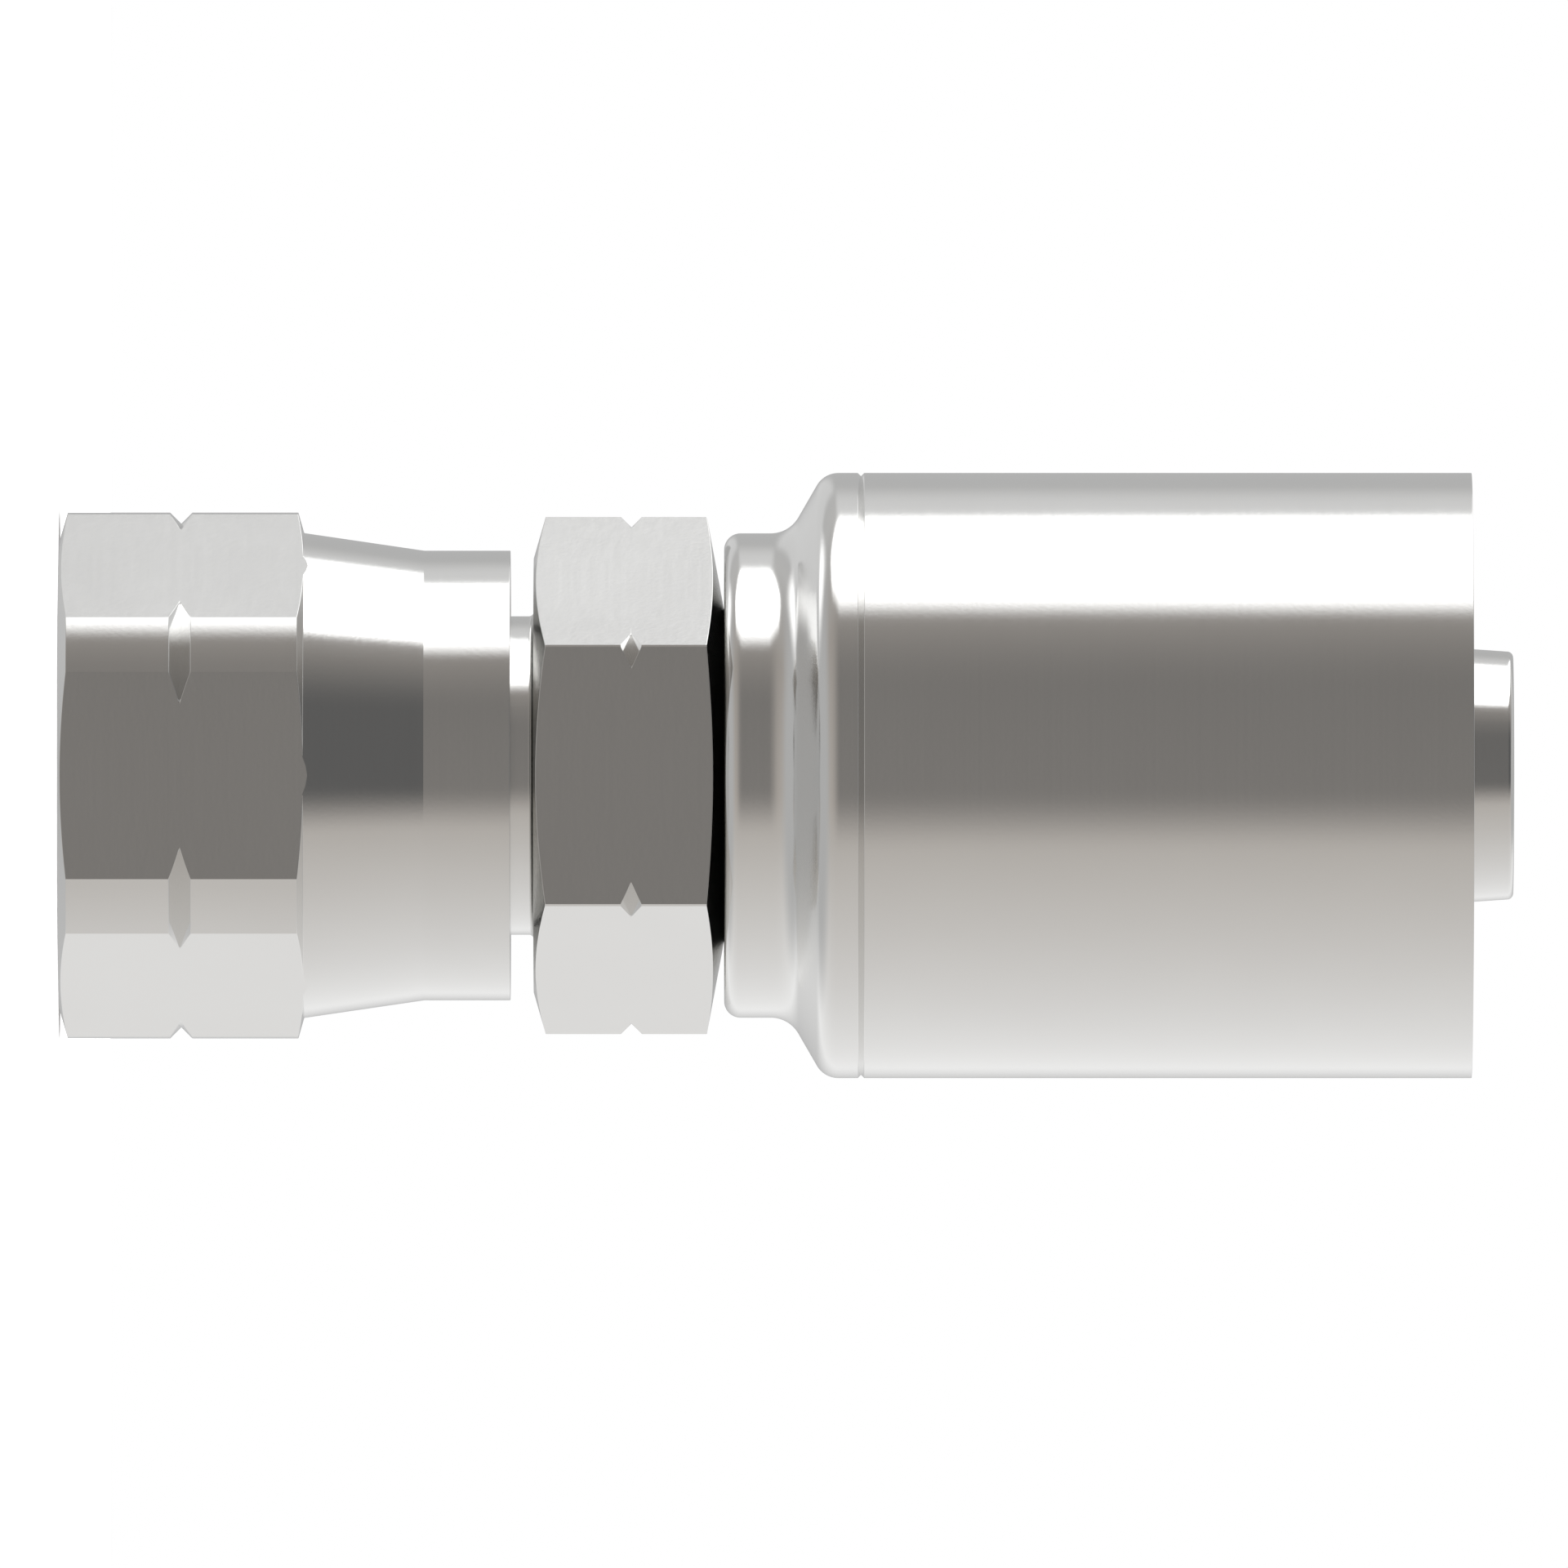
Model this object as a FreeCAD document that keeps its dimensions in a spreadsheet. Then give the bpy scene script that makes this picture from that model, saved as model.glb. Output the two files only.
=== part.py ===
"""Crimp hose fitting: a flared swivel nut on a one-piece hose stem with its crimp shell.

The fitting stands on the nut's open face. Its axis is +Z, the origin is the centre of
that face, and the hose end is up. All sizes are in millimetres.

Each piece is turned, so each is one section revolved about its own axis. The two hexes
are then cut by six flats, and the barbs and teeth that grip the hose are rings repeated
along the axis. Where pieces fit in one another the driving sizes are walls, steps and
clearances, so that a change of the thread, the bore or the shell carries its neighbours.
"""

import FreeCAD, Part
import math
import os

import Sketcher

doc = FreeCAD.newDocument("crimp_hose_fitting")

# Driving sizes

SIZES = [
    ("thread_dia", 19.05, "nut's thread, over its roots"),
    ("thread_length", 10.0, "open face to the end of the full thread"),
    ("mouth_chamfer", 0.40, "countersink at the nut's open face"),
    ("nut_wall", 1.5875, "thread to a flat, which makes the nut 22.225 across flats"),
    ("nut_corner_trim", 0.7466, "turned off the nut's sharp corners"),
    ("nut_hex_length", 10.98, "open face to the start of the rear corner chamfer"),
    ("nut_cone_rise", 0.05, "foot of the swaged cone beyond the flats"),
    ("nut_skirt_step", 0.78, "flats down to the swaged skirt"),
    ("nut_skirt_length", 3.96, "skirt's straight part"),
    ("nut_length", 20.73, "whole nut"),
    ("nut_mark_height", 5.60, "corner notch, from the open face"),
    ("face_step", 0.345, "flats down to the flat ring on the face of either hex"),
    ("corner_angle", 16.0, "corner chamfers of both hexes, from the face"),
    ("mark_depth", 0.48, "corner notches of both hexes, a 90 degree groove"),
    ("swivel_clearance", 0.25, "radial gap between nut and stem"),
    ("skirt_gap", 1.07, "nut's skirt to the body hex"),
    ("head_drop", 0.975, "thread down to the stem's head, which goes in past its crests"),
    ("head_length", 4.70, "head's straight part"),
    ("head_step", 1.23, "head down to the neck, a 45 degree shoulder"),
    ("seat_land", 0.50, "flat ring round the flare seat"),
    ("seat_angle", 37.0, "flare seat, from the axis"),
    ("neck_length", 5.17, "body hex to the head's shoulder"),
    ("hex_across_flats", 20.6375, "body hex, across flats"),
    ("hex_length", 8.75, "body hex with its back cone"),
    ("hex_mark_height", 4.49, "corner notch, from the hex's nut side"),
    ("hex_back_angle", 10.5, "back cone of the body hex, from the face"),
    ("hex_back_land", 1.05, "flat ring that the crimp shell sits against"),
    ("bore_dia", 9.50, "passage through the stem"),
    ("bore_chamfer", 0.35, "chamfer at the nipple's end"),
    ("groove_wall", 2.20, "bore to the floor of the locking groove"),
    ("lock_step", 0.65, "floor of the locking groove up to the flange behind it"),
    ("lock_flange_length", 1.40, "flange behind the locking groove"),
    ("lock_clearance", 0.05, "gap between the staked lip and its groove"),
    ("flange_clearance", 0.15, "radial gap round the flange"),
    ("nipple_wall", 1.15, "bore to the nipple at the root of its barbs"),
    ("barb_height", 0.55, "root to crest of a barb"),
    ("barb_lead", 3.90, "flange to the first barb's steep face"),
    ("barb_pitch", 5.00, "barb to barb"),
    ("barb_land", 0.60, "straight crest of a barb"),
    ("barb_ramp", 2.60, "ramp that the hose slides up"),
    ("tail_length", 3.20, "tapered pilot at the nipple's end"),
    ("tail_taper", 0.22, "radius that the pilot loses along its length"),
    ("tail_bevel", 0.30, "outer edge at the pilot's end"),
    ("tail_reach", 1.91, "nipple beyond the crimp shell"),
    ("shell_dia", 27.816, "crimp shell"),
    ("shell_length", 34.35, "crimp shell"),
    ("collar_step", 2.778, "crimp shell down to its collar beside the body hex"),
    ("collar_length", 2.985, "collar to the foot of the shoulder cone"),
    ("shoulder_angle", 60.0, "shoulder cone, from the axis"),
    ("collar_rounding", 0.75, "collar's front edge"),
    ("foot_rounding", 1.47, "hollow at the shoulder's foot"),
    ("top_rounding", 1.15, "round at the shoulder's top"),
    ("lip_length", 2.30, "lip that is staked into the locking groove"),
    ("mark_lead", 1.70, "shoulder's top to the fine groove round the shell"),
    ("shell_mark_width", 0.30, "fine groove round the shell"),
    ("shell_mark_depth", 0.19, "fine groove round the shell"),
    ("tube_wall", 2.408, "outside to the crest of the inner teeth"),
    ("tooth_lead", 2.30, "shoulder cone inside to the first gap between teeth"),
    ("tooth_pitch", 5.00, "tooth to tooth"),
    ("tooth_gap", 3.40, "length of a gap between teeth"),
    ("tooth_depth", 0.50, "depth of a gap between teeth"),
    ("tooth_ramp", 0.70, "ramp that the hose slides over"),
    ("shell_lead", 0.50, "chamfer inside the mouth for the hose"),
]


def make_sheet():
    """One row for each driving size: its name, its value and what it is."""
    table = doc.addObject("Spreadsheet::Sheet", "sizes")
    for row, (alias, value, note) in enumerate(SIZES, start=1):
        table.set(f"A{row}", alias)
        table.set(f"B{row}", str(value))
        table.set(f"C{row}", note)
        table.setAlias(f"B{row}", alias)
    doc.recompute()
    return table


make_sheet()

# Radii that follow from the driving sizes

THREAD = "sizes.thread_dia / 2"
NUT_FLAT = f"({THREAD} + sizes.nut_wall)"
NUT_CORNER = f"({NUT_FLAT} / cos(30) - sizes.nut_corner_trim)"
HEAD = f"({THREAD} - sizes.head_drop)"
NECK = f"({HEAD} - sizes.head_step)"
HEX_FLAT = "sizes.hex_across_flats / 2"
HEX_CORNER = f"({HEX_FLAT} / cos(30))"
BORE = "sizes.bore_dia / 2"
GROOVE = f"({BORE} + sizes.groove_wall)"
FLANGE = f"({GROOVE} + sizes.lock_step)"
NIPPLE = f"({BORE} + sizes.nipple_wall)"
TUBE = "sizes.shell_dia / 2"
COLLAR = f"({TUBE} - sizes.collar_step)"
TOOTH = f"({TUBE} - sizes.tube_wall)"

# Heights of the pieces and of the head's shoulder, from the nut's open face

HEX_FACE = "(sizes.nut_length + sizes.skirt_gap)"
SHELL_FACE = f"({HEX_FACE} + sizes.hex_length)"
HEAD_BACK = f"({HEX_FACE} - sizes.neck_length - sizes.head_step)"


# Helpers for bodies and sketches


def new_body(name, height=None):
    """A body with its own label, raised along the axis to the height given."""
    body = doc.addObject("PartDesign::Body", name)
    body.Label = name
    body.Placement = FreeCAD.Placement()
    if height:
        body.setExpression("Placement.Base.z", height)
    return body


def new_sketch(body, name, plane):
    """A sketch on one of the body's own origin planes."""
    sketch = body.newObject("Sketcher::SketchObject", name)
    base = next(f for f in body.Origin.OriginFeatures if f.Role == plane)
    sketch.AttachmentSupport = [(base, "")]
    sketch.MapMode = "FlatFace"
    return sketch


def constrain(sketch, constraint, name, size):
    """A named constraint whose value is an expression on the sheet."""
    sketch.renameConstraint(sketch.addConstraint(constraint), name)
    sketch.setExpression(f"Constraints.{name}", size)


def draw_outline(sketch, points):
    """A closed outline of straight lines; line i runs from point i to the next."""
    count = len(points)
    for i in range(count):
        sketch.addGeometry(Part.LineSegment(points[i], points[(i + 1) % count]), False)
    for i in range(count):
        sketch.addConstraint(Sketcher.Constraint("Coincident", i, 2, (i + 1) % count, 1))


def draw_section(sketch, corners):
    """A closed outline through named corners, each a radius and a height.

    A corner is (name, radius, height), with the sizes as expressions on the sheet, and may
    end with a rounding. They become the constraints NAME_r, NAME_z and NAME_rounding.
    """
    places = [FreeCAD.Vector(sketch.evalExpression(corner[1]), sketch.evalExpression(corner[2]), 0)
              for corner in corners]
    draw_outline(sketch, places)
    for i, corner in enumerate(corners):
        name, radius, height = corner[:3]
        constrain(sketch, Sketcher.Constraint("DistanceX", -1, 1, i, 1, places[i].x), f"{name}_r", radius)
        if height == "0":
            sketch.addConstraint(Sketcher.Constraint("PointOnObject", i, 1, -1))
            continue
        constrain(sketch, Sketcher.Constraint("DistanceY", -1, 1, i, 1, places[i].y), f"{name}_z", height)
    for i, corner in enumerate(corners):
        if len(corner) > 3:
            value = sketch.evalExpression(corner[3])
            sketch.fillet(i, 1, value, True, True)
            arc = len(sketch.Geometry) - 2
            constrain(sketch, Sketcher.Constraint("Radius", arc, value), f"{corner[0]}_rounding", corner[3])


def revolve(body, kind, name, corners):
    """Turn a section about the body's axis: kind is Revolution to add, Groove to cut."""
    sketch = new_sketch(body, f"{name}_section", "XZ_Plane")
    draw_section(sketch, corners)
    doc.recompute()
    feature = body.newObject(f"PartDesign::{kind}", name)
    feature.Profile = sketch
    feature.ReferenceAxis = (sketch, ["V_Axis"])
    feature.Angle = 360
    doc.recompute()
    return feature


def repeat_along_axis(body, feature, name, pitch, room):
    """Copies of a ring along the body's axis, a pitch apart, as many as the room takes."""
    count = f"max(1; floor(({room}) / {pitch}))"
    pattern = body.newObject("PartDesign::LinearPattern", name)
    pattern.Originals = [feature]
    pattern.Direction = (feature.Profile[0], ["V_Axis"])
    pattern.setExpression("Length", f"{pitch} * ({count} - 1)")
    pattern.setExpression("Occurrences", count)
    body.Tip = pattern
    doc.recompute()
    return pattern


BLANK_REACH = 1.5  # outer circle of a milled hexagon, in times its axis to flat


def cut_flats(body, name, flat, height):
    """Six flats: everything between a hexagon and a circle well outside it is milled away.

    The hexagon has corners at +X and -X, so that two of its flats face +Y and -Y.
    """
    sketch = new_sketch(body, f"{name}_section", "XY_Plane")
    corner = f"{flat} / cos(30)"
    blank = f"{flat} * {BLANK_REACH}"
    radius = sketch.evalExpression(corner)
    turns = [math.radians(60 * i) for i in range(6)]
    draw_outline(sketch, [FreeCAD.Vector(radius * math.cos(t), radius * math.sin(t), 0) for t in turns])
    circles = [sketch.addGeometry(Part.Circle(FreeCAD.Vector(), FreeCAD.Vector(0, 0, 1), radius), guide)
               for guide in (True, False)]
    for circle, label, size in zip(circles, ("corner", "blank"), (corner, blank)):
        sketch.addConstraint(Sketcher.Constraint("Coincident", circle, 3, -1, 1))
        value = sketch.evalExpression(size)
        constrain(sketch, Sketcher.Constraint("Radius", circle, value), f"{label}_r", size)
    for i in range(6):
        sketch.addConstraint(Sketcher.Constraint("PointOnObject", i, 1, circles[0]))
    for i in range(5):
        sketch.addConstraint(Sketcher.Constraint("Equal", i, i + 1))
    sketch.addConstraint(Sketcher.Constraint("PointOnObject", 0, 1, -1))
    doc.recompute()
    before = body.Shape.Volume
    pocket = body.newObject("PartDesign::Pocket", name)
    pocket.Profile = sketch
    pocket.Reversed = True
    pocket.setExpression("Length", height)
    doc.recompute()
    if not pocket.Shape.Volume < before:
        raise RuntimeError(f"{name} cuts nothing")


# Swivel nut


def make_swivel_nut():
    """Hex nut with a swaged tail, whose inner shoulder holds the stem's head."""
    body = new_body("swivel_nut")
    face = f"{NUT_FLAT} - sizes.face_step"
    cone = f"{NUT_FLAT} + sizes.nut_cone_rise"
    skirt = f"{NUT_FLAT} - sizes.nut_skirt_step"
    front_rise = f"({NUT_CORNER} - ({face})) * tan(sizes.corner_angle)"
    back_rise = f"({NUT_CORNER} - ({cone})) * tan(sizes.corner_angle)"
    head_room = f"{HEAD} + sizes.swivel_clearance"
    neck_room = f"{NECK} + sizes.swivel_clearance"
    runout = f"{THREAD} - ({head_room})"
    revolve(body, "Revolution", "nut_blank", [
        ("mouth", f"{THREAD} + sizes.mouth_chamfer", "0"),
        ("face", face, "0"),
        ("front_corner", NUT_CORNER, front_rise),
        ("mark_front", NUT_CORNER, "sizes.nut_mark_height - sizes.mark_depth"),
        ("mark_root", f"{NUT_CORNER} - sizes.mark_depth", "sizes.nut_mark_height"),
        ("mark_back", NUT_CORNER, "sizes.nut_mark_height + sizes.mark_depth"),
        ("back_corner", NUT_CORNER, "sizes.nut_hex_length"),
        ("cone_foot", cone, f"sizes.nut_hex_length + {back_rise}"),
        ("cone_top", skirt, "sizes.nut_length - sizes.nut_skirt_length"),
        ("skirt_end", skirt, "sizes.nut_length"),
        ("lip_end", neck_room, "sizes.nut_length"),
        ("lip_shoulder", neck_room, f"{HEAD_BACK} + sizes.head_step"),
        ("head_shoulder", head_room, HEAD_BACK),
        ("runout_end", head_room, f"sizes.thread_length + {runout}"),
        ("thread_end", THREAD, "sizes.thread_length"),
        ("thread_start", THREAD, "sizes.mouth_chamfer"),
    ])
    cut_flats(body, "nut_flats", NUT_FLAT, "sizes.nut_length")
    return body


# Hose stem


def make_hose_stem():
    """One-piece stem: flare seat and head, neck, body hex, locking groove and nipple.

    Its heights are from the body hex's face on the nut's side.
    """
    body = new_body("hose_stem", HEX_FACE)
    face = f"{HEX_FLAT} - sizes.face_step"
    back = f"({GROOVE} + sizes.hex_back_land)"
    front_rise = f"({HEX_CORNER} - ({face})) * tan(sizes.corner_angle)"
    back_rise = f"({HEX_CORNER} - {back}) * tan(sizes.hex_back_angle)"
    head_back = "-(sizes.neck_length + sizes.head_step)"
    head_face = f"{head_back} - sizes.head_length"
    seat_rim = f"({HEAD} - sizes.seat_land)"
    seat_depth = f"({seat_rim} - {BORE}) / tan(sizes.seat_angle)"
    groove_end = "sizes.hex_length + sizes.lip_length + sizes.lock_clearance"
    flange_end = f"{groove_end} + sizes.lock_flange_length"
    nipple_end = "sizes.hex_length + sizes.shell_length + sizes.tail_reach"
    tail_start = f"{nipple_end} - sizes.tail_length"
    tail = f"{NIPPLE} - sizes.tail_taper"
    revolve(body, "Revolution", "stem_blank", [
        ("seat_rim", seat_rim, head_face),
        ("head_front", HEAD, head_face),
        ("head_back", HEAD, head_back),
        ("neck_start", NECK, "-sizes.neck_length"),
        ("neck_root", NECK, "0"),
        ("hex_face", face, "0"),
        ("hex_front", HEX_CORNER, front_rise),
        ("mark_front", HEX_CORNER, "sizes.hex_mark_height - sizes.mark_depth"),
        ("mark_root", f"{HEX_CORNER} - sizes.mark_depth", "sizes.hex_mark_height"),
        ("mark_back", HEX_CORNER, "sizes.hex_mark_height + sizes.mark_depth"),
        ("hex_rear", HEX_CORNER, f"sizes.hex_length - {back_rise}"),
        ("hex_back", back, "sizes.hex_length"),
        ("groove_start", GROOVE, "sizes.hex_length"),
        ("groove_end", GROOVE, groove_end),
        ("flange_start", FLANGE, groove_end),
        ("flange_end", FLANGE, flange_end),
        ("nipple_start", NIPPLE, flange_end),
        ("tail_start", NIPPLE, tail_start),
        ("tail_rim", tail, f"{nipple_end} - sizes.tail_bevel"),
        ("tail_end", f"{tail} - sizes.tail_bevel", nipple_end),
        ("bore_mouth", f"{BORE} + sizes.bore_chamfer", nipple_end),
        ("bore_end", BORE, f"{nipple_end} - sizes.bore_chamfer"),
        ("seat_foot", BORE, f"{head_face} + {seat_depth}"),
    ])
    cut_flats(body, "hex_flats", HEX_FLAT, "sizes.hex_length")
    crest = f"{NIPPLE} + sizes.barb_height"
    core = f"{NIPPLE} - sizes.barb_height"
    start = f"{flange_end} + sizes.barb_lead"
    land_end = f"{start} + sizes.barb_land"
    ramp_end = f"{land_end} + sizes.barb_ramp"
    barb = revolve(body, "Revolution", "barb", [
        ("core_start", core, start),
        ("core_end", core, ramp_end),
        ("ramp_end", NIPPLE, ramp_end),
        ("land_end", crest, land_end),
        ("crest_start", crest, start),
    ])
    repeat_along_axis(body, barb, "barbs", "sizes.barb_pitch", f"{tail_start} - ({start})")
    return body


# Crimp shell


def make_crimp_shell():
    """Thick tube with a stepped front that is staked into the stem's groove.

    Its heights are from its own front face, which sits against the body hex.
    """
    body = new_body("crimp_shell", SHELL_FACE)
    lip = f"{GROOVE} + sizes.lock_clearance"
    pocket = f"({FLANGE} + sizes.flange_clearance)"
    pocket_end = "sizes.lip_length + sizes.lock_clearance + sizes.lock_flange_length"
    inner_rise = f"({TOOTH} - {pocket}) / tan(sizes.shoulder_angle)"
    top = "sizes.collar_length + sizes.collar_step / tan(sizes.shoulder_angle)"
    mark = f"{top} + sizes.mark_lead"
    blank = revolve(body, "Revolution", "shell_blank", [
        ("lip_front", lip, "0"),
        ("collar_front", COLLAR, "0", "sizes.collar_rounding"),
        ("shoulder_foot", COLLAR, "sizes.collar_length", "sizes.foot_rounding"),
        ("shoulder_top", TUBE, top, "sizes.top_rounding"),
        ("mark_front", TUBE, f"{mark} - sizes.shell_mark_width / 2"),
        ("mark_root", f"{TUBE} - sizes.shell_mark_depth", mark),
        ("mark_back", TUBE, f"{mark} + sizes.shell_mark_width / 2"),
        ("mouth_outer", TUBE, "sizes.shell_length"),
        ("mouth_inner", f"{TOOTH} + sizes.shell_lead", "sizes.shell_length"),
        ("lead_end", TOOTH, "sizes.shell_length - sizes.shell_lead"),
        ("cone_top", TOOTH, f"{pocket_end} + {inner_rise}"),
        ("cone_foot", pocket, pocket_end),
        ("pocket_floor", pocket, "sizes.lip_length"),
        ("lip_back", lip, "sizes.lip_length"),
    ])
    start = f"{pocket_end} + {inner_rise} + sizes.tooth_lead"
    end = f"{start} + sizes.tooth_gap"
    floor = f"{TOOTH} + sizes.tooth_depth"
    inside = f"{TOOTH} - sizes.tooth_depth"
    gap = revolve(body, "Groove", "tooth_gap", [
        ("inner_start", inside, start),
        ("ramp_start", TOOTH, start),
        ("floor_start", floor, f"{start} + sizes.tooth_ramp"),
        ("floor_end", floor, end),
        ("inner_end", inside, end),
    ])
    if not gap.Shape.Volume < blank.Shape.Volume:
        raise RuntimeError("the gap between the teeth cuts nothing")
    room = f"sizes.shell_length - sizes.shell_lead - ({start})"
    repeat_along_axis(body, gap, "tooth_gaps", "sizes.tooth_pitch", room)
    return body


# Build, test and write


def check(bodies):
    """Every object is sound, and every piece is one valid solid."""
    for item in doc.Objects:
        if "Invalid" in item.State or "Error" in item.State:
            raise RuntimeError(f"{item.Name} failed: {item.State}")
    for body in bodies:
        shape = body.Shape
        if shape.isNull() or not shape.isValid() or len(shape.Solids) != 1:
            raise RuntimeError(f"{body.Label} is not one valid solid")
        print(f"{body.Label}: {shape.Volume:.1f} mm3, "
              f"z {shape.BoundBox.ZMin:.2f} to {shape.BoundBox.ZMax:.2f}")


pieces = [make_swivel_nut(), make_hose_stem(), make_crimp_shell()]
doc.recompute()
check(pieces)
os.makedirs("parts", exist_ok=True)
for piece in pieces:
    piece.Shape.exportStep(f"parts/{piece.Label}.step")
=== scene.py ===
"""Crimp hose fitting: fine surfaces, the nut's thread and the plated finish over the frame.

Every piece is a closed surface worked out on a grid. The columns are half planes round the
fitting's axis, and the rows go round the piece's section in each of them. On the two hexes
the section is that of a turned blank cut back to the flats. Sizes are in metres.
"""

import math

import bmesh
import bpy
from mathutils import Matrix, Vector
import numpy as np


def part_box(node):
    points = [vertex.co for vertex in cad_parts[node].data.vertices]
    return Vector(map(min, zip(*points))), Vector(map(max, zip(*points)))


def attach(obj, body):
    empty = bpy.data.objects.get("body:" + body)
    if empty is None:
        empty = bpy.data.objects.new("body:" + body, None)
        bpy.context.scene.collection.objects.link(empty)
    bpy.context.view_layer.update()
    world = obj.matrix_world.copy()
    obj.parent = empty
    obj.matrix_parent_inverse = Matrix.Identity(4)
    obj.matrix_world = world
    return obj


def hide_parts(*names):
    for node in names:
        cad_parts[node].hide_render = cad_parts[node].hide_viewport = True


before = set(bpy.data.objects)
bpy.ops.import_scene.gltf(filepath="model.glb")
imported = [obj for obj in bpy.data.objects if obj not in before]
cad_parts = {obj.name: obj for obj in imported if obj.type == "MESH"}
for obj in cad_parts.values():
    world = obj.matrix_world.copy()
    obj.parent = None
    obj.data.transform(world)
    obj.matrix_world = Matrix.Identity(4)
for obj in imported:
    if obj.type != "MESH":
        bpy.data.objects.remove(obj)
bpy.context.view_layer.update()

MM = 0.001

# Places that the frame gives

NUT_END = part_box("swivel_nut")[1][2]
HEAD_FACE, NIPPLE_END = (corner[2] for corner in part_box("hose_stem"))
SHELL_FACE, SHELL_END = (corner[2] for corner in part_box("crimp_shell"))
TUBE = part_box("crimp_shell")[1][0]

# Both hexes

CORNER_SLOPE = math.tan(math.radians(16))   # of the turned corners against the faces
FACE_STEP = 0.345 * MM                      # from a flat in to the edge of the front face

# Swivel nut

THREAD = 9.525 * MM        # radius of the roots
THREAD_PITCH = 1.5875 * MM
THREAD_DEPTH = 0.859 * MM
THREAD_END = 10.0 * MM
THREAD_FORM = [            # pitches from the middle of a crest, and 1 on a crest or 0 in a root
    (1 / 8, 1),
    (-1 / 8, 1),
    (-7 / 16, 0),
    (-9 / 16, 0),
]
MOUTH_CHAMFER = 0.40 * MM
NUT_FLAT = 11.1125 * MM
NUT_CORNER = 12.085 * MM
NUT_HEX_LENGTH = 10.98 * MM
NUT_CONE = NUT_FLAT + 0.03 * MM
NUT_SKIRT = NUT_FLAT - 0.78 * MM
NUT_SKIRT_LENGTH = 3.96 * MM
NUT_MARK = 5.60 * MM
NUT_MARK_DEPTH = 0.51 * MM
SWIVEL_CLEARANCE = 0.25 * MM

# Hose stem

HEAD = 8.55 * MM
HEAD_LENGTH = 4.70 * MM
HEAD_STEP = 1.23 * MM
NECK = HEAD - HEAD_STEP
NECK_FILLET = 0.22 * MM
SEAT_LAND = 0.50 * MM
SEAT_SLOPE = math.tan(math.radians(37))
HEX_FACE = NUT_END + 1.07 * MM
HEX_FLAT = 10.31875 * MM
HEX_EDGE_BREAK = 0.03 * MM
HEX_MARK = HEX_FACE + 4.49 * MM
HEX_MARK_DEPTH = 0.48 * MM
HEX_BACK_SLOPE = math.tan(math.radians(10.5))
HEX_BACK = 7.6 * MM
BORE = 4.75 * MM
BORE_CHAMFER = 0.35 * MM
GROOVE = BORE + 2.20 * MM
FLANGE = GROOVE + 0.65 * MM
FLANGE_LENGTH = 1.40 * MM
NIPPLE = BORE + 1.15 * MM
BARB_CREST = NIPPLE + 0.55 * MM
BARB_LEAD = 3.90 * MM
BARB_PITCH = 5.0 * MM
BARB_LAND = 0.60 * MM
BARB_RAMP = 2.60 * MM
BARB_COUNT = 5
TAIL_LENGTH = 3.20 * MM
TAIL_END = NIPPLE - 0.22 * MM
TAIL_ROUNDING = 0.38 * MM

# Crimp shell

COLLAR = TUBE - 2.778 * MM
COLLAR_LENGTH = 2.985 * MM
SHOULDER_SLOPE = math.tan(math.radians(60))
COLLAR_ROUNDING = 0.75 * MM
FOOT_ROUNDING = 1.47 * MM
TOP_ROUNDING = 1.15 * MM
LIP_LENGTH = 2.30 * MM
LOCK_CLEARANCE = 0.05 * MM
FLANGE_CLEARANCE = 0.15 * MM
MARK_LEAD = 1.70 * MM
SHELL_MARK_WIDTH = 0.30 * MM
SHELL_MARK_DEPTH = 0.15 * MM
TOOTH = TUBE - 2.408 * MM
TOOTH_LEAD = 2.30 * MM
TOOTH_PITCH = 5.0 * MM
TOOTH_GAP = 3.40 * MM
TOOTH_DEPTH = 0.50 * MM
TOOTH_RAMP = 0.70 * MM
TOOTH_COUNT = 5
SHELL_LEAD = 0.50 * MM

# How finely the surfaces are made

EDGE = 0.025 * MM         # radius of a broken edge
THREAD_EDGE = 0.04 * MM
FILLET_FROM = 0.12 * MM   # a rounding larger than this is a fillet and gets more rows
FILLET_STEPS = 12
EDGE_STEPS = 5
THREAD_STEPS = 3
ROUND_COLUMNS = 240
FLAT_COLUMNS = 7          # from a flat's middle to where the notch begins
NOTCH_COLUMNS = 5         # from there to the flat's edge
CORNER_COLUMNS = 4        # from there to the middle of the corner
SHARP = math.radians(20)  # faces that meet at a larger angle are shaded apart
ROUNDING_SHARE = 0.45     # part of a side that the rounding at one end may take up
MARGIN_SHARE = 0.49       # the same with the row that lies beside the rounding
MARGIN_GROWTH = 1.1       # distance of that row from the corner, against the rounding's reach
MARGIN_STEP = 0.3 * EDGE  # and what is added to it
NO_LENGTH = 1e-12         # stands in for the length of a side that has shrunk to nothing
SAME_PLACE = 2e-7         # points closer together than this are one
SHORTEST_EDGE = 1e-7
ANGLE_DIGITS = 7


# Surfaces


def round_angles():
    """Column angles evenly round the axis, with the first repeated at the end."""
    return np.linspace(0, 2 * math.pi, ROUND_COLUMNS + 1)


def hex_angles(flat, corner, notch_depth):
    """Column angles for a hexagon with its corners at 0, 60, 120 degrees and so on.

    In each sixth they are mirrored about the flat's middle. There are even steps to where the
    notch begins, on to the edge where the flat meets the turned corner, and over the corner.
    """
    half = math.pi / 6
    notch = math.acos(flat / (corner - notch_depth))
    edge = math.acos(flat / corner)
    steps = np.concatenate((np.linspace(0, notch, FLAT_COLUMNS + 1),
                            np.linspace(notch, edge, NOTCH_COLUMNS + 1),
                            np.linspace(edge, half, CORNER_COLUMNS + 1)))
    middles = half + np.arange(6)[:, None] * 2 * half
    return np.unique(np.round(middles + np.concatenate((-steps, steps)), ANGLE_DIGITS))


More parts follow.
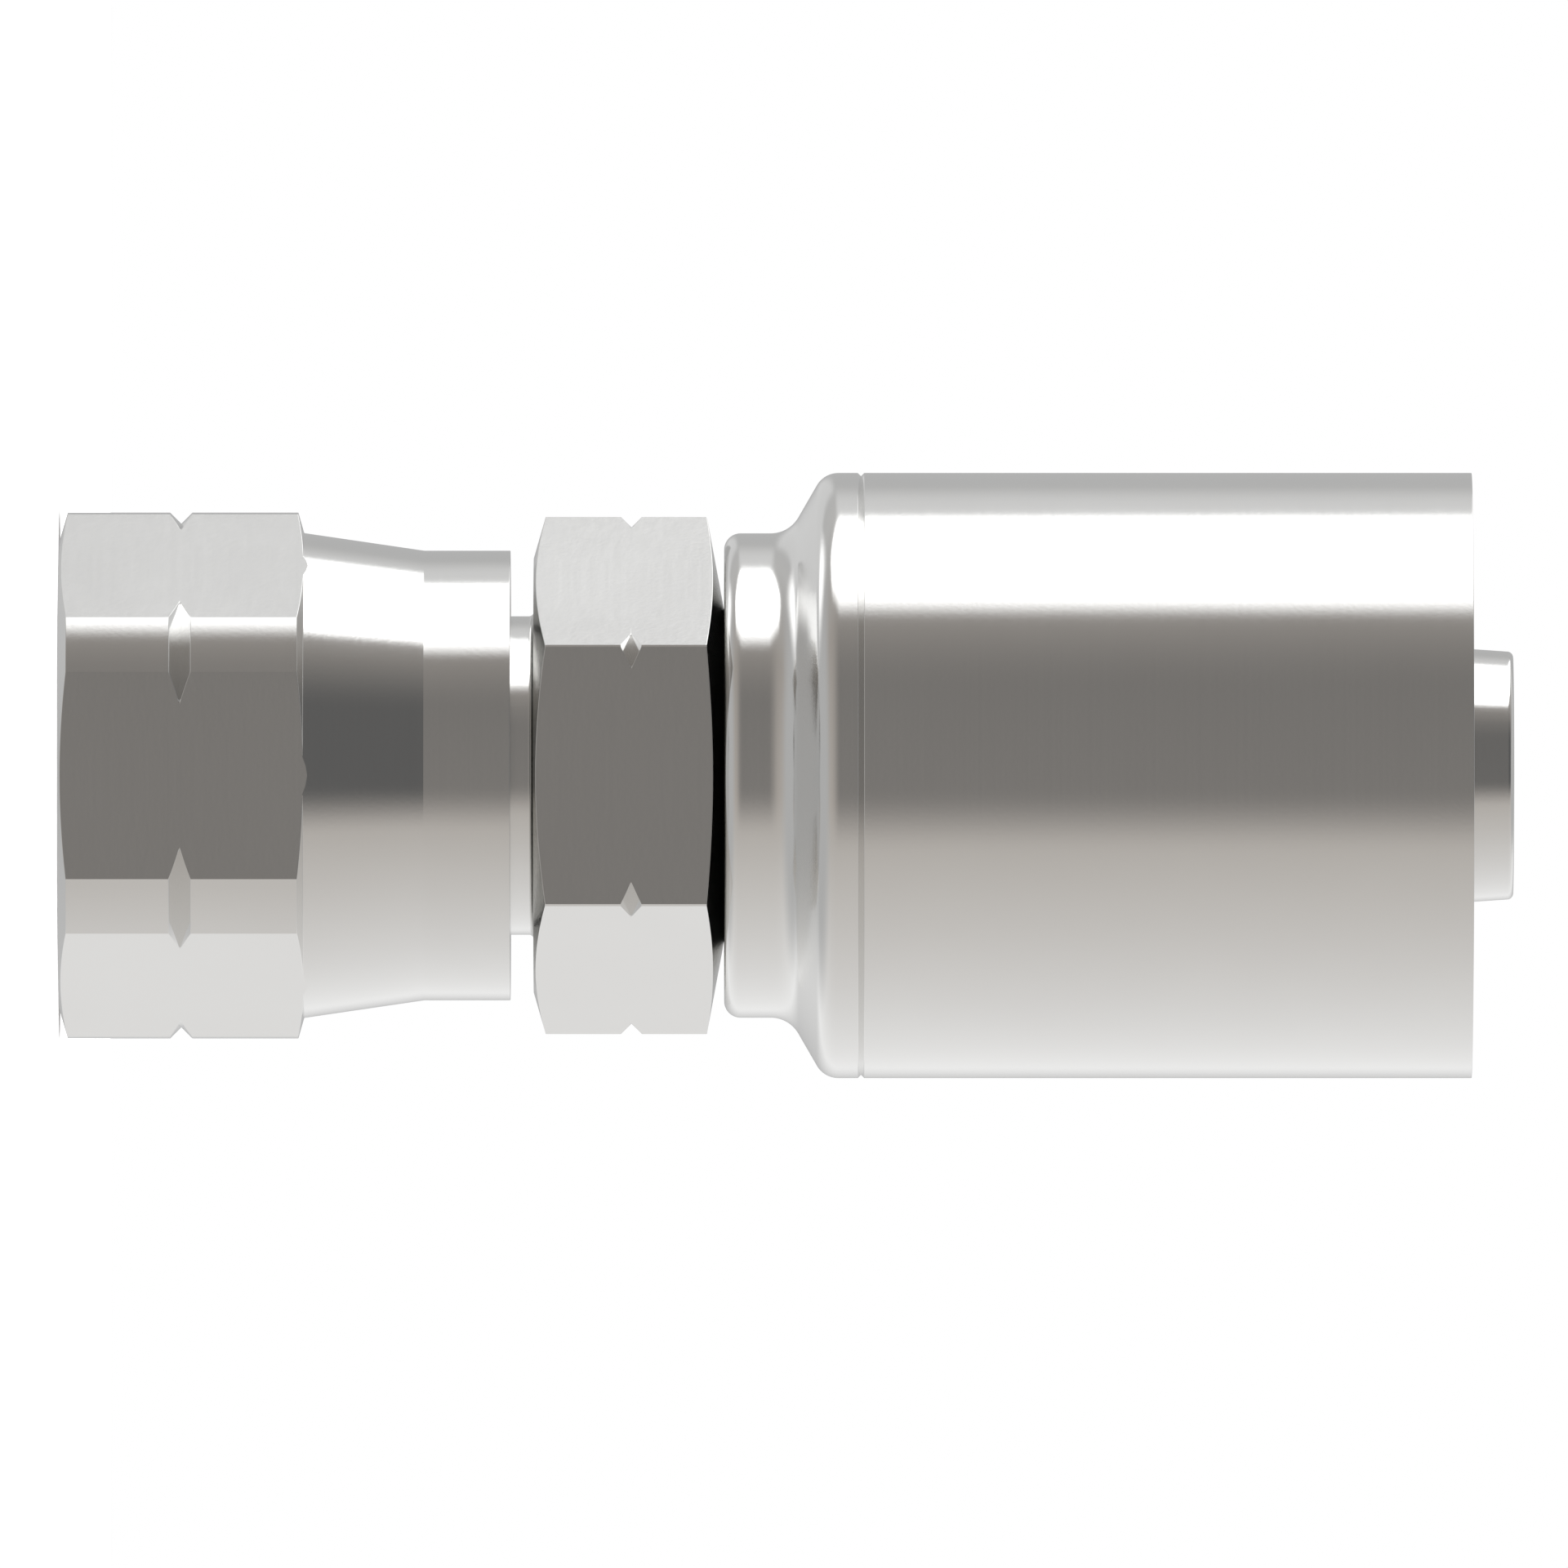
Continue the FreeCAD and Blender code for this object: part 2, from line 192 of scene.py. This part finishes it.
def hex_radius(angles, flat, corner):
    """Radius of a hexagon, flat / cos(angle from the flat's middle), but no more than corner."""
    from_middle = np.mod(angles, math.pi / 3) - math.pi / 6
    return np.minimum(flat / np.cos(from_middle), corner)


def rounding_steps(rounding):
    """How many steps a rounding takes: most for a fillet, fewest on the thread."""
    if rounding > FILLET_FROM:
        return FILLET_STEPS
    return THREAD_STEPS if rounding == THREAD_EDGE else EDGE_STEPS


def rounded_section(corners, columns):
    """Rows of (radius, height) round a closed section, with each of its corners rounded.

    A corner is (radius, height, rounding), the first two numbers or one value a column. It
    becomes an arc that touches both of its sides, rounding * tan(half the turn) from the
    corner along each, but never more than a set share of a side. The arc is the quadratic
    curve (a S + b P + c E) / (a + b + c) with a = (1 - t)^2, b = 2 t (1 - t) cos(half the
    turn) and c = t^2, from S to E about the corner P. One more row on each side of it, a
    little further along that side, keeps the shading of the sides true.
    """
    places = np.stack([np.stack(np.broadcast_arrays(radius, height, np.zeros(columns))[:2], axis=-1)
                       for radius, height, _ in corners])
    rows = []
    for i, (_, _, rounding) in enumerate(corners):
        corner = places[i]
        sides = (places[i - 1] - corner, places[(i + 1) % len(corners)] - corner)
        lengths = [np.linalg.norm(side, axis=-1, keepdims=True) for side in sides]
        back, ahead = [side / np.maximum(length, NO_LENGTH) for side, length in zip(sides, lengths)]
        turn = np.arccos(np.clip(-np.sum(back * ahead, axis=-1, keepdims=True), -1, 1))
        reach = np.minimum(rounding * np.tan(turn / 2), ROUNDING_SHARE * np.minimum(*lengths))
        margins = [np.minimum(reach * MARGIN_GROWTH + MARGIN_STEP, MARGIN_SHARE * length)
                   for length in lengths]
        rows.append(corner + back * margins[0])
        for t in np.linspace(0, 1, rounding_steps(rounding) + 1):
            a, b, c = (1 - t) ** 2, 2 * t * (1 - t) * np.cos(turn / 2), t ** 2
            rows.append(corner + (a * back * reach + c * ahead * reach) / (a + b + c))
        rows.append(corner + ahead * margins[1])
    return np.stack(rows)


def make_piece(name, angles, corners, body, node):
    """A closed surface of revolution whose section may change with the angle.

    Point (row, column) is (radius cos(angle), radius sin(angle), height). The last column
    lies on the first and the last row is joined to the first, so the surface is closed.
    """
    section = rounded_section(corners, len(angles))
    radius, height = section[..., 0], section[..., 1]
    points = np.stack((radius * np.cos(angles), radius * np.sin(angles), height), axis=-1)
    index = np.arange(radius.size).reshape(radius.shape)
    after = np.roll(index, -1, axis=0)
    quads = np.stack((index[:, :-1], index[:, 1:], after[:, 1:], after[:, :-1]), axis=-1)
    mesh = bpy.data.meshes.new(name)
    mesh.from_pydata(points.reshape(-1, 3).tolist(), [], quads.reshape(-1, 4).tolist())
    shape = bmesh.new()
    shape.from_mesh(mesh)
    bmesh.ops.remove_doubles(shape, verts=shape.verts, dist=SAME_PLACE)
    bmesh.ops.dissolve_degenerate(shape, edges=shape.edges, dist=SHORTEST_EDGE)
    bmesh.ops.recalc_face_normals(shape, faces=shape.faces)
    shape.to_mesh(mesh)
    shape.free()
    mesh.shade_smooth()
    mesh.set_sharp_from_angle(angle=SHARP)
    piece = bpy.data.objects.new(name, mesh)
    bpy.context.scene.collection.objects.link(piece)
    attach(piece, body)
    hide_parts(node)
    return piece


# Swivel nut


def thread_corners(angles):
    """Corners of the nut's helical thread, from its inner end down to its mouth.

    Turn k has the middle of its crest at the height start + pitch (k + angle / 2 pi). A
    crest is a quarter of the pitch wide and a root an eighth, which leaves flanks at 30
    degrees. The thread's height grows from nothing over the countersink, along a 45 degree
    cone, and fades out over its last turn.
    """
    start = MOUTH_CHAMFER
    turns = math.ceil((THREAD_END - start) / THREAD_PITCH)
    corners = []
    for turn in range(turns + 1, -2, -1):
        middle = start + THREAD_PITCH * (turn + angles / (2 * math.pi))
        for offset, crest in THREAD_FORM:
            height = np.clip(middle + offset * THREAD_PITCH, start, THREAD_END)
            grown = np.minimum((height - start) / THREAD_DEPTH,
                               (THREAD_END - height) / THREAD_PITCH)
            radius = THREAD - crest * THREAD_DEPTH * np.clip(grown, 0, 1)
            corners.append((radius, height, THREAD_EDGE))
    return corners


def make_nut():
    """Hex nut: hex with turned corners and a notch round them, swaged tail, thread inside.

    Where the hex reaches a radius, its turned corners begin (radius - face) * slope behind
    the front face and end (radius - cone) * slope before the foot of the tail's cone. On a
    flat that lies inside the cone's foot, the cone is met further on. The notch cuts down
    to one radius, and is as wide to each side as it is deep.
    """
    angles = hex_angles(NUT_FLAT, NUT_CORNER, NUT_MARK_DEPTH)
    side = hex_radius(angles, NUT_FLAT, NUT_CORNER)
    face = NUT_FLAT - FACE_STEP
    front = (side - face) * CORNER_SLOPE
    notch = np.maximum(side - (NUT_CORNER - NUT_MARK_DEPTH), 0)
    foot = NUT_HEX_LENGTH + (NUT_CORNER - NUT_CONE) * CORNER_SLOPE
    skirt = NUT_END - NUT_SKIRT_LENGTH
    cone_slope = (skirt - foot) / (NUT_CONE - NUT_SKIRT)
    on_chamfer = side > NUT_CONE
    foot = np.where(on_chamfer, foot, foot + (NUT_CONE - side) * cone_slope)
    back = np.minimum(foot - (side - NUT_CONE) * CORNER_SLOPE, foot - EDGE)
    head_room = HEAD + SWIVEL_CLEARANCE
    neck_room = NECK + SWIVEL_CLEARANCE
    head_back = HEAD_FACE + HEAD_LENGTH
    return make_piece("threaded_nut", angles, [
        (THREAD + MOUTH_CHAMFER, 0, EDGE),
        (face, 0, EDGE),
        (side, front, EDGE),
        (side, NUT_MARK - notch, EDGE),
        (side - notch, NUT_MARK, 0),
        (side, NUT_MARK + notch, EDGE),
        (side, back, EDGE),
        (np.minimum(side, NUT_CONE), foot, EDGE),
        (NUT_SKIRT, skirt, EDGE),
        (NUT_SKIRT, NUT_END, EDGE),
        (neck_room, NUT_END, EDGE),
        (neck_room, head_back + HEAD_STEP, EDGE),
        (head_room, head_back, EDGE),
        (head_room, THREAD_END + THREAD - head_room, EDGE),
        (THREAD, THREAD_END, 0),
        *thread_corners(angles),
        (THREAD, MOUTH_CHAMFER, 0),
    ], "nut", "swivel_nut")


# Hose stem


def barb_corners(first):
    """Barbs a pitch apart, each a steep face, a straight crest and a ramp for the hose."""
    corners = []
    for start in first + BARB_PITCH * np.arange(BARB_COUNT):
        corners += [
            (NIPPLE, start, EDGE),
            (BARB_CREST, start, EDGE),
            (BARB_CREST, start + BARB_LAND, EDGE),
            (NIPPLE, start + BARB_LAND + BARB_RAMP, EDGE),
        ]
    return corners


def make_stem():
    """Hose stem: flare seat, head, neck, hex, locking groove, flange and barbed nipple.

    The hex has turned corners and a notch in front as on the nut. Behind, it ends in a flat
    cone, (radius - back) * slope before the crimp shell.
    """
    corner = HEX_FLAT / math.cos(math.pi / 6) - HEX_EDGE_BREAK
    angles = hex_angles(HEX_FLAT, corner, HEX_MARK_DEPTH)
    side = hex_radius(angles, HEX_FLAT, corner)
    face = HEX_FLAT - FACE_STEP
    notch = np.maximum(side - (corner - HEX_MARK_DEPTH), 0)
    head_back = HEAD_FACE + HEAD_LENGTH
    flange = SHELL_FACE + LIP_LENGTH + LOCK_CLEARANCE
    flange_end = flange + FLANGE_LENGTH
    seat_rim = HEAD - SEAT_LAND
    return make_piece("barbed_stem", angles, [
        (seat_rim, HEAD_FACE, EDGE),
        (HEAD, HEAD_FACE, EDGE),
        (HEAD, head_back, EDGE),
        (NECK, head_back + HEAD_STEP, EDGE),
        (NECK, HEX_FACE, NECK_FILLET),
        (face, HEX_FACE, EDGE),
        (side, HEX_FACE + (side - face) * CORNER_SLOPE, EDGE),
        (side, HEX_MARK - notch, EDGE),
        (side - notch, HEX_MARK, 0),
        (side, HEX_MARK + notch, EDGE),
        (side, SHELL_FACE - (side - HEX_BACK) * HEX_BACK_SLOPE, EDGE),
        (HEX_BACK, SHELL_FACE, EDGE),
        (GROOVE, SHELL_FACE, EDGE),
        (GROOVE, flange, EDGE),
        (FLANGE, flange, EDGE),
        (FLANGE, flange_end, EDGE),
        (NIPPLE, flange_end, EDGE),
        *barb_corners(flange_end + BARB_LEAD),
        (NIPPLE, NIPPLE_END - TAIL_LENGTH, EDGE),
        (TAIL_END, NIPPLE_END, TAIL_ROUNDING),
        (BORE + BORE_CHAMFER, NIPPLE_END, EDGE),
        (BORE, NIPPLE_END - BORE_CHAMFER, EDGE),
        (BORE, HEAD_FACE + (seat_rim - BORE) / SEAT_SLOPE, EDGE),
    ], "fitting", "hose_stem")


# Crimp shell


def tooth_corners(first):
    """Spaces between the teeth, from the mouth for the hose inwards: steep face, floor and ramp."""
    corners = []
    for start in first + TOOTH_PITCH * np.arange(TOOTH_COUNT - 1, -1, -1):
        corners += [
            (TOOTH, start + TOOTH_GAP, EDGE),
            (TOOTH + TOOTH_DEPTH, start + TOOTH_GAP, EDGE),
            (TOOTH + TOOTH_DEPTH, start + TOOTH_RAMP, EDGE),
            (TOOTH, start, EDGE),
        ]
    return corners


def make_shell():
    """Crimp shell: collar and shoulder with their roundings, fine groove, and teeth inside.

    The shoulder is a cone, (tube - collar) / slope long.
    """
    top = SHELL_FACE + COLLAR_LENGTH + (TUBE - COLLAR) / SHOULDER_SLOPE
    mark = top + MARK_LEAD
    half_mark = SHELL_MARK_WIDTH / 2
    lip = GROOVE + LOCK_CLEARANCE
    lip_back = SHELL_FACE + LIP_LENGTH
    pocket = FLANGE + FLANGE_CLEARANCE
    pocket_end = lip_back + LOCK_CLEARANCE + FLANGE_LENGTH
    cone_top = pocket_end + (TOOTH - pocket) / SHOULDER_SLOPE
    return make_piece("toothed_shell", round_angles(), [
        (lip, SHELL_FACE, EDGE),
        (COLLAR, SHELL_FACE, COLLAR_ROUNDING),
        (COLLAR, SHELL_FACE + COLLAR_LENGTH, FOOT_ROUNDING),
        (TUBE, top, TOP_ROUNDING),
        (TUBE, mark - half_mark, EDGE),
        (TUBE - SHELL_MARK_DEPTH, mark, 0),
        (TUBE, mark + half_mark, EDGE),
        (TUBE, SHELL_END, EDGE),
        (TOOTH + SHELL_LEAD, SHELL_END, EDGE),
        (TOOTH, SHELL_END - SHELL_LEAD, EDGE),
        *tooth_corners(cone_top + TOOTH_LEAD),
        (TOOTH, cone_top, EDGE),
        (pocket, pocket_end, EDGE),
        (pocket, lip_back, EDGE),
        (lip, lip_back, EDGE),
    ], "fitting", "crimp_shell")


# Finish

NUT_FINISH = ((0.83, 0.83, 0.82), 0.115)    # tint and roughness
STEM_FINISH = ((0.83, 0.83, 0.82), 0.13)
CRIMP_FINISH = ((0.84, 0.84, 0.83), 0.125)
CLOUD_SCALE = 160.0       # blotches of a few millimetres
CLOUD_DETAIL = 3.0
CLOUD_TINT = (0.965, 0.96, 0.96)
GRAIN_SCALE = 5200.0
RING_SCALE = 2600.0
FINE_DETAIL = 2.0         # of the grain and the turning marks
RING_SHARE = 1.5          # height of the turning marks against that of the grain
UNEVEN_SHEEN = 0.35
BUMP_STRENGTH = 0.05
BUMP_HEIGHT = 0.02 * MM


def node(tree, kind, **settings):
    """A node with the settings given, each a property or else the socket of that name."""
    made = tree.nodes.new(kind)
    for key, value in settings.items():
        if hasattr(made, key):
            setattr(made, key, value)
        else:
            made.inputs[key.replace("_", " ").title()].default_value = value
    return made


def reckon(tree, operation, *values):
    """The result of a math node on sockets or plain numbers."""
    made = node(tree, "ShaderNodeMath", operation=operation)
    for socket, value in zip(made.inputs, values):
        if isinstance(value, bpy.types.NodeSocket):
            tree.links.new(value, socket)
        else:
            socket.default_value = value
    return made.outputs["Value"]


def marks(tree, vector, scale, detail):
    """Noise of the scale given at a vector."""
    noise = node(tree, "ShaderNodeTexNoise", scale=scale, detail=detail)
    tree.links.new(vector, noise.inputs["Vector"])
    return noise.outputs["Fac"]


def plated_steel(name, tint, roughness):
    """Bright plated steel with fine grain, turning marks, and slight changes of sheen and tint.

    Turning marks run round the axis, so they are noise at (distance from the axis, height).
    """
    material = bpy.data.materials.new(name)
    material.use_nodes = True
    tree = material.node_tree
    shader = tree.nodes["Principled BSDF"]
    shader.inputs["Metallic"].default_value = 1.0
    place = node(tree, "ShaderNodeTexCoord").outputs["Object"]
    parts = node(tree, "ShaderNodeSeparateXYZ")
    tree.links.new(place, parts.inputs["Vector"])
    across = reckon(tree, "POWER", parts.outputs["X"], 2.0)
    across = reckon(tree, "MULTIPLY_ADD", parts.outputs["Y"], parts.outputs["Y"], across)
    turned = node(tree, "ShaderNodeCombineXYZ")
    tree.links.new(reckon(tree, "SQRT", across), turned.inputs["X"])
    tree.links.new(parts.outputs["Z"], turned.inputs["Z"])

    clouds = marks(tree, place, CLOUD_SCALE, CLOUD_DETAIL)
    grain = marks(tree, place, GRAIN_SCALE, FINE_DETAIL)
    rings = marks(tree, turned.outputs["Vector"], RING_SCALE, FINE_DETAIL)

    clouded = [channel * shade for channel, shade in zip(tint, CLOUD_TINT)]
    colour = node(tree, "ShaderNodeMix", data_type="RGBA")
    colour.inputs["A"].default_value = (*clouded, 1)
    colour.inputs["B"].default_value = (*tint, 1)
    tree.links.new(clouds, colour.inputs["Factor"])
    tree.links.new(colour.outputs["Result"], shader.inputs["Base Color"])

    uneven = reckon(tree, "ADD", reckon(tree, "ADD", grain, rings), clouds)
    sheen = node(tree, "ShaderNodeMapRange")
    sheen.inputs["From Max"].default_value = 3.0   # each of the three goes from 0 to 1
    sheen.inputs["To Min"].default_value = roughness * (1 - UNEVEN_SHEEN)
    sheen.inputs["To Max"].default_value = roughness * (1 + UNEVEN_SHEEN)
    tree.links.new(uneven, sheen.inputs["Value"])
    tree.links.new(sheen.outputs["Result"], shader.inputs["Roughness"])

    relief = reckon(tree, "MULTIPLY_ADD", rings, RING_SHARE, grain)
    bump = node(tree, "ShaderNodeBump", strength=BUMP_STRENGTH, distance=BUMP_HEIGHT)
    tree.links.new(relief, bump.inputs["Height"])
    tree.links.new(bump.outputs["Normal"], shader.inputs["Normal"])
    return material


# Studio

CREVICE_REFLECTIONS = 8   # light reaches the spaces between facing bright faces

CAMERA_DISTANCE = 3.3     # so far off that near and far forms are seen at almost one scale
CAMERA_CENTRE = (0.39 * MM, 33.3 * MM)   # X and Z of the place it faces
PICTURE_WIDTH = 72.07 * MM
SENSOR_WIDTH = 36.0       # in millimetres
CLIP = (0.1, 10.0)

OVERHEAD_WIDTH = 0.5
OVERHEAD_POWER = 6.0
OVERHEAD_HEIGHT = 0.6

FLOOR_RADIUS = 0.25
FLOOR_SIDES = 96
FLOOR_SHADE = 0.95
FLOOR_ROUGHNESS = 0.9


def make_camera():
    """A long lens far off at -Y, turned so that the fitting's axis runs to the picture's right."""
    camera = bpy.data.objects.new("camera", bpy.data.cameras.new("camera"))
    camera.data.sensor_width = SENSOR_WIDTH
    camera.data.lens = SENSOR_WIDTH * CAMERA_DISTANCE / PICTURE_WIDTH
    camera.data.clip_start, camera.data.clip_end = CLIP
    right, up, back = (0, 0, 1), (-1, 0, 0), (0, -1, 0)
    turned = Matrix((right, up, back)).transposed().to_4x4()
    x, z = CAMERA_CENTRE
    camera.matrix_world = Matrix.Translation((x, -CAMERA_DISTANCE, z)) @ turned
    bpy.context.scene.collection.objects.link(camera)
    bpy.context.scene.camera = camera


# The studio as the metal sees it. Directions are named as in the picture: up is -X, front is
# towards the camera, -Y, and along is the fitting's axis, +Z

# Walls and floor round the axis: degrees from the front upwards, brightness and warmth

STUDIO_RING = [
    (-180, 0.47, 0.00),
    (-150, 0.97, 0.00),
    (-108, 0.81, 0.02),
    (-48, 0.60, 0.08),
    (-10, 0.46, 0.14),
    (60, 0.39, 0.14),
    (95, 0.46, 0.04),
    (120, 0.54, 0.02),
    (150, 0.50, 0.00),
    (180, 0.47, 0.00),
]

ENDS_OF_ROOM = 0.49       # brightness in the directions of the axis itself
ENDS_NUT_EDGE = (-0.55, -0.92)   # part of a direction along the axis over which they come in
ENDS_HOSE_EDGE = (0.68, 0.92)

DARK_CLOTH = 0.11         # hangs behind the camera and towards the hose end
CLOTH_LOWER_EDGE = (-30, -5)
CLOTH_UPPER_EDGE = (88, 33)
CLOTH_NUT_SIDE = (-0.64, 0.40)
CLOTH_HOSE_SIDE = (0.95, 0.70)

BACK_WALL = 0.69          # lit strip behind and above
WALL_LOWER_EDGE = (106, 114)
WALL_UPPER_EDGE = (147, 127)
WALL_NUT_SIDE = (-0.14, -0.02)

REAR_BOARD = 0.68         # pale board behind, towards the nut
BOARD_LOWER_EDGE = (134, 146)
BOARD_UPPER_EDGE = (182, 168)
BOARD_NUT_SIDE = (-0.92, -0.62)
BOARD_HOSE_SIDE = (-0.05, -0.20)

# The softbox hangs overhead. Its edges are lines on a flat ceiling at height 1, where a
# place is given as forward, to the front, and beside, towards the hose end

SOFTBOX = 1.9
ALMOST_LEVEL = 0.001                # keeps forward and beside finite in level directions
SOFTBOX_FRONT_EDGE = (0.54, 0.24)   # forward - front slant * beside
SOFTBOX_FRONT_SLANT = 0.5
SOFTBOX_CORNER_EDGE = (0.61, 0.48)  # forward + beside
SOFTBOX_BACK_EDGE = (-0.58, -0.44)  # forward + the larger of the back and hose slants * beside
SOFTBOX_BACK_SLANT = 0.8
SOFTBOX_HOSE_SLANT = 1.8
SOFTBOX_NUT_EDGE = (-0.53, -0.37)
SOFTBOX_HOSE_EDGE = (0.64, 0.46)

RIM_LIGHT = 1.6           # smaller softbox behind, above and beyond the nut
RIM_LOWER_EDGE = (98, 132)
RIM_UPPER_EDGE = (150, 134)
RIM_NUT_SIDE = (-0.93, -0.75)
RIM_HOSE_SIDE = (-0.53, -0.72)


def soft_edge(tree, value, edge):
    """0 on the near side of an edge (start, end) and 1 past it, with a smooth step between."""
    step = node(tree, "ShaderNodeMapRange", interpolation_type="SMOOTHSTEP")
    step.inputs["From Min"].default_value = edge[0]
    step.inputs["From Max"].default_value = edge[1]
    tree.links.new(value, step.inputs["Value"])
    return step.outputs["Result"]


def panel(tree, below, brightness, edges):
    """The colour below or, past all of the edges (value, edge), one brightness in its place."""
    cover = 1.0
    for value, edge in edges:
        cover = reckon(tree, "MULTIPLY", cover, soft_edge(tree, value, edge))
    mix = node(tree, "ShaderNodeMix", data_type="RGBA")
    mix.inputs["B"].default_value = (brightness, brightness, brightness, 1)
    tree.links.new(cover, mix.inputs["Factor"])
    tree.links.new(below, mix.inputs["A"])
    return mix.outputs["Result"]


def make_ring(tree, degrees):
    """Colour round the axis: even changes from one place of the ring to the next."""
    ring = node(tree, "ShaderNodeValToRGB")
    while len(ring.color_ramp.elements) < len(STUDIO_RING):
        ring.color_ramp.elements.new(0.5)
    for stop, (place, brightness, warmth) in zip(ring.color_ramp.elements, STUDIO_RING):
        stop.position = place / 360 + 0.5
        stop.color = (brightness, brightness * (1 - warmth / 2), brightness * (1 - warmth), 1)
    tree.links.new(reckon(tree, "MULTIPLY_ADD", degrees, 1 / 360, 0.5), ring.inputs["Fac"])
    return ring.outputs["Color"]


def hang_panels(tree, room, degrees, along):
    """The room with its cloth, its two ends, the back wall, the rear board and the rim light."""
    room = panel(tree, room, DARK_CLOTH, [
        (degrees, CLOTH_LOWER_EDGE), (degrees, CLOTH_UPPER_EDGE),
        (along, CLOTH_NUT_SIDE), (along, CLOTH_HOSE_SIDE)])
    room = panel(tree, room, ENDS_OF_ROOM, [(along, ENDS_NUT_EDGE)])
    room = panel(tree, room, ENDS_OF_ROOM, [(along, ENDS_HOSE_EDGE)])
    room = panel(tree, room, BACK_WALL, [
        (degrees, WALL_LOWER_EDGE), (degrees, WALL_UPPER_EDGE), (along, WALL_NUT_SIDE)])
    room = panel(tree, room, REAR_BOARD, [
        (degrees, BOARD_LOWER_EDGE), (degrees, BOARD_UPPER_EDGE),
        (along, BOARD_NUT_SIDE), (along, BOARD_HOSE_SIDE)])
    return panel(tree, room, RIM_LIGHT, [
        (degrees, RIM_LOWER_EDGE), (degrees, RIM_UPPER_EDGE),
        (along, RIM_NUT_SIDE), (along, RIM_HOSE_SIDE)])


def hang_softbox(tree, room, up, front, along):
    """The room with the softbox, placed by forward = front / up and beside = along / up."""
    above = reckon(tree, "MAXIMUM", up, ALMOST_LEVEL)
    forward = reckon(tree, "DIVIDE", front, above)
    beside = reckon(tree, "DIVIDE", along, above)
    slanted = reckon(tree, "MULTIPLY_ADD", beside, -SOFTBOX_FRONT_SLANT, forward)
    behind = reckon(tree, "MAXIMUM",
                    reckon(tree, "MULTIPLY_ADD", beside, SOFTBOX_BACK_SLANT, forward),
                    reckon(tree, "MULTIPLY_ADD", beside, SOFTBOX_HOSE_SLANT, forward))
    return panel(tree, room, SOFTBOX, [
        (slanted, SOFTBOX_FRONT_EDGE), (reckon(tree, "ADD", forward, beside), SOFTBOX_CORNER_EDGE),
        (behind, SOFTBOX_BACK_EDGE), (beside, SOFTBOX_NUT_EDGE), (beside, SOFTBOX_HOSE_EDGE)])


def make_world():
    """A white room to the camera, and to the metal the studio with all that hangs in it."""
    world = bpy.data.worlds.new("studio")
    world.use_nodes = True
    bpy.context.scene.world = world
    tree = world.node_tree
    tree.nodes.clear()
    parts = node(tree, "ShaderNodeSeparateXYZ")
    tree.links.new(node(tree, "ShaderNodeTexCoord").outputs["Generated"], parts.inputs["Vector"])
    up = reckon(tree, "MULTIPLY", parts.outputs["X"], -1.0)
    front = reckon(tree, "MULTIPLY", parts.outputs["Y"], -1.0)
    along = parts.outputs["Z"]
    degrees = reckon(tree, "DEGREES", reckon(tree, "ARCTAN2", up, front))
    room = hang_panels(tree, make_ring(tree, degrees), degrees, along)
    room = hang_softbox(tree, room, up, front, along)

    seen = node(tree, "ShaderNodeLightPath")
    backdrop = node(tree, "ShaderNodeMix", data_type="RGBA")
    backdrop.inputs["B"].default_value = (1, 1, 1, 1)
    tree.links.new(seen.outputs["Is Camera Ray"], backdrop.inputs["Factor"])
    tree.links.new(room, backdrop.inputs["A"])
    light = node(tree, "ShaderNodeBackground")
    tree.links.new(backdrop.outputs["Result"], light.inputs["Color"])
    output = node(tree, "ShaderNodeOutputWorld")
    tree.links.new(light.outputs["Background"], output.inputs["Surface"])


def make_floor():
    """A plain pale disc that the nut's face stands on."""
    mesh = bpy.data.meshes.new("floor")
    shape = bmesh.new()
    bmesh.ops.create_circle(shape, cap_ends=True, segments=FLOOR_SIDES, radius=FLOOR_RADIUS)
    shape.to_mesh(mesh)
    shape.free()
    floor = bpy.data.objects.new("floor", mesh)
    bpy.context.scene.collection.objects.link(floor)
    material = bpy.data.materials.new("pale_floor")
    material.use_nodes = True
    shader = material.node_tree.nodes["Principled BSDF"]
    shader.inputs["Base Color"].default_value = (FLOOR_SHADE, FLOOR_SHADE, FLOOR_SHADE, 1)
    shader.inputs["Roughness"].default_value = FLOOR_ROUGHNESS
    mesh.materials.append(material)
    floor.visible_glossy = False


def make_light():
    """One wide soft light overhead, for the floor and the faces that look up."""
    light = bpy.data.lights.new("overhead", "AREA")
    light.shape = "DISK"
    light.size = OVERHEAD_WIDTH
    light.energy = OVERHEAD_POWER
    overhead = bpy.data.objects.new("overhead", light)
    overhead.location = (0, 0, OVERHEAD_HEIGHT)
    overhead.visible_glossy = False
    bpy.context.scene.collection.objects.link(overhead)


# The fitting and its surroundings

nut = make_nut()
stem = make_stem()
shell = make_shell()
nut.data.materials.append(plated_steel("nut_finish", *NUT_FINISH))
stem.data.materials.append(plated_steel("stem_finish", *STEM_FINISH))
shell.data.materials.append(plated_steel("crimp_finish", *CRIMP_FINISH))

make_camera()
make_world()
make_light()
make_floor()
bpy.context.scene.view_settings.view_transform = "Standard"
bpy.context.scene.cycles.glossy_bounces = CREVICE_REFLECTIONS
